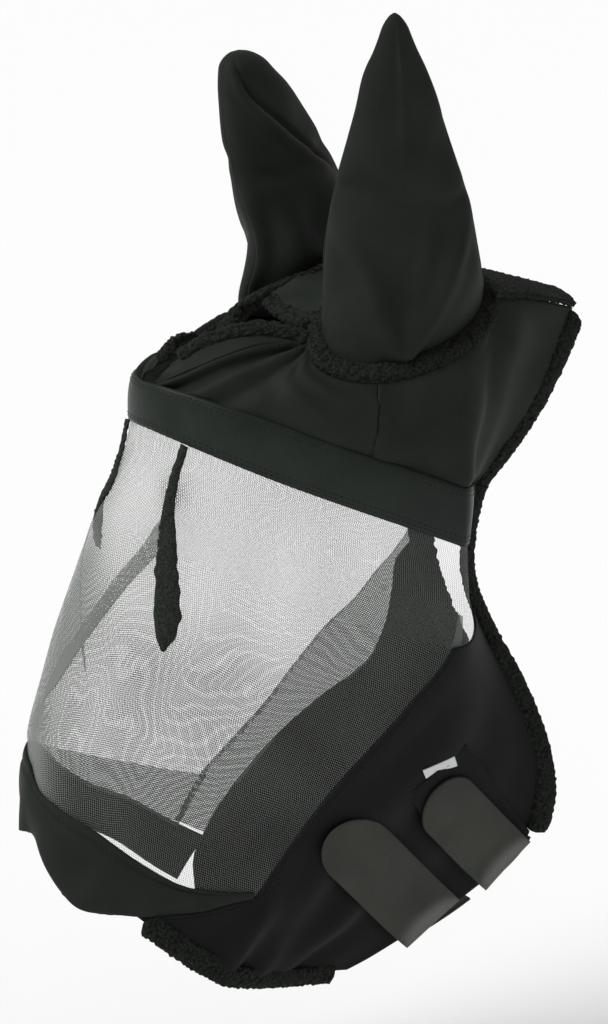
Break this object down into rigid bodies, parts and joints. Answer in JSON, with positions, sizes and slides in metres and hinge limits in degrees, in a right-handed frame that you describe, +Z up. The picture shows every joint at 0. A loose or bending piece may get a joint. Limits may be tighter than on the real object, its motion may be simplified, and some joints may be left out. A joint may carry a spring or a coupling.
{
  "type": "fly mask",
  "caption": "Horse fly mask with a see-through mesh face, ear covers, fleece-bound edges, a browband, a noseband and hook-and-loop tabs under the jaw.",
  "frame": {"origin": "the seat on the poll, behind the ears, at the rear middle of the crown, where the mask hangs on the horse's head", "axes": "+Z up, +X to the horse's left, -Y the way the horse faces"},
  "size_m": [0.188, 0.3676, 0.6059],
  "materials": {
    "stretch_fabric": "matt knitted stretch fabric, near black",
    "ear_fabric": "soft stretch fabric, near black, slight sheen on folds",
    "fly_mesh": "open knitted mesh, see-through",
    "fleece": "curly pile fleece, near black",
    "satin_band": "smooth elastic band, double stitched",
    "closing_tape": "woven backing of hook tape, warm dark grey",
    "loop_tape": "brushed loop tape, near black",
    "hook_pad": "moulded hooks",
    "woven_label": "white woven ribbon, blank"
  },
  "bodies": {
    "shell": {"face_mesh": "fly_mesh", "seam_facing_left": "fly_mesh", "seam_facing_right": "fly_mesh", "browband": "satin_band", "noseband": "stretch_fabric", "nose_lining": "fleece", "cheek_panel_left": "stretch_fabric", "cheek_panel_right": "stretch_fabric", "crown_front_left": "stretch_fabric", "crown_front_right": "stretch_fabric", "crown_rear_left": "stretch_fabric", "crown_rear_right": "stretch_fabric", "chin_hem_left": "fleece", "chin_hem_right": "fleece", "rear_binding_left": "fleece", "rear_binding_right": "fleece", "poll_binding_left": "fleece", "poll_binding_right": "fleece", "forelock_binding_left": "fleece", "forelock_binding_right": "fleece", "bridge_binding": "fleece", "poll_bridge": "stretch_fabric", "poll_pad": "fleece", "ear_ring_left": "fleece", "ear_ring_right": "fleece", "dart_cover_left": "fleece", "dart_cover_right": "fleece", "loop_patch_front": "loop_tape", "loop_patch_rear": "loop_tape", "tab_front_root": "closing_tape", "tab_rear_root": "closing_tape"},
    "ear_left": {"ear_front_left": "ear_fabric", "ear_back_left": "ear_fabric"},
    "ear_right": {"ear_front_right": "ear_fabric", "ear_back_right": "ear_fabric"},
    "front_tab": {"tab_front": "closing_tape", "tab_front_hooks": "hook_pad"},
    "rear_tab": {"tab_rear": "closing_tape", "tab_rear_hooks": "hook_pad"},
    "label": {"care_label": "woven_label"}
  },
  "joints": [
    {"name": "ear_left_tip", "type": "hinge", "parent": "shell", "child": "ear_left", "pos_m": [0.0475, -0.11, 0.013], "axis": [-0.6797, 0.3954, 0.6178], "range_deg": [0, 12], "stiffness_Nm_per_rad": 0.06},
    {"name": "ear_right_tip", "type": "hinge", "parent": "shell", "child": "ear_right", "pos_m": [-0.0475, -0.11, 0.013], "axis": [-0.6797, -0.3954, -0.6178], "range_deg": [0, 12], "stiffness_Nm_per_rad": 0.06},
    {"name": "front_tab_peel", "type": "hinge", "parent": "shell", "child": "front_tab", "pos_m": [0.03263, -0.08483, -0.36989], "axis": [0.0337, 0.8283, 0.5593], "range_deg": [0, 150]},
    {"name": "rear_tab_peel", "type": "hinge", "parent": "shell", "child": "rear_tab", "pos_m": [0.03447, -0.03163, -0.341], "axis": [0.1234, 0.7019, 0.7015], "range_deg": [0, 150]},
    {"name": "care_label_flip", "type": "hinge", "parent": "shell", "child": "label", "pos_m": [0.06665, -0.09845, -0.2636], "axis": [-0.0408, 0.8632, 0.5032], "range_deg": [0, 100], "stiffness_Nm_per_rad": 0.0001}
  ]
}
